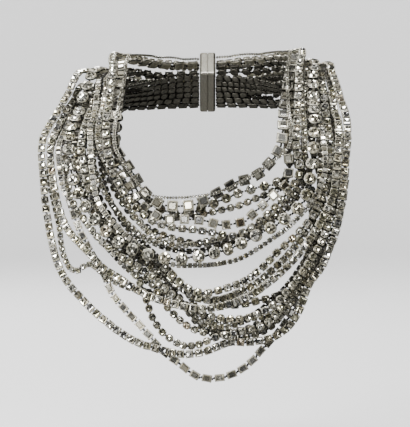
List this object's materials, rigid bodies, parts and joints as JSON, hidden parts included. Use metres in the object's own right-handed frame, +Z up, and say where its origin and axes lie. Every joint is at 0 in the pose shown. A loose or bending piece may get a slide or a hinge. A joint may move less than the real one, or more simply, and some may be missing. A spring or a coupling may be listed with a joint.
{
  "type": "multi-strand festoon necklace",
  "caption": "Multi-strand festoon necklace: swagged rows of cup-set clear stones in round, square and baguette cuts, gathered over the shoulders and closed at the nape.",
  "frame": {"origin": "on the axis of the neck that the necklace is worn round, at the level of the nape", "axes": "+Z up along the neck, the front of the necklace towards -Y, the wearer's left at +X"},
  "size_m": [0.2188, 0.2286, 0.2292],
  "materials": {
    "silver_rows": "clear foiled stones in polished pale grey metal cups",
    "dark_rows": "clear foiled stones in dark grey plated cups",
    "clasp": "plain dark plated metal"
  },
  "bodies": {
    "root": {"lowest_baguette_strand": "dark_rows", "hooked_strand": "silver_rows", "middle_round_strand": "silver_rows", "thin_column_strand": "dark_rows", "swag_middle_strand": "silver_rows", "swag_lower_strand": "silver_rows", "inner_swag_strand": "silver_rows", "swag_upper_strand": "silver_rows", "open_round_strand": "silver_rows", "wide_round_strand": "silver_rows", "cross_square_strand": "silver_rows", "edge_square_strand": "silver_rows", "second_column_strand": "silver_rows", "filled_inner_strand": "silver_rows", "filled_round_strand": "silver_rows", "filled_small_strand": "silver_rows", "collar_mixed_strand": "silver_rows", "inner_square_strand": "silver_rows", "collar_square_strand": "silver_rows", "narrow_strand": "silver_rows", "inner_round_strand": "silver_rows", "tiny_strand": "dark_rows", "large_round_strand": "silver_rows", "outer_strand": "dark_rows", "neckline_strand": "dark_rows", "clasp": "clasp"}
  },
  "joints": []
}
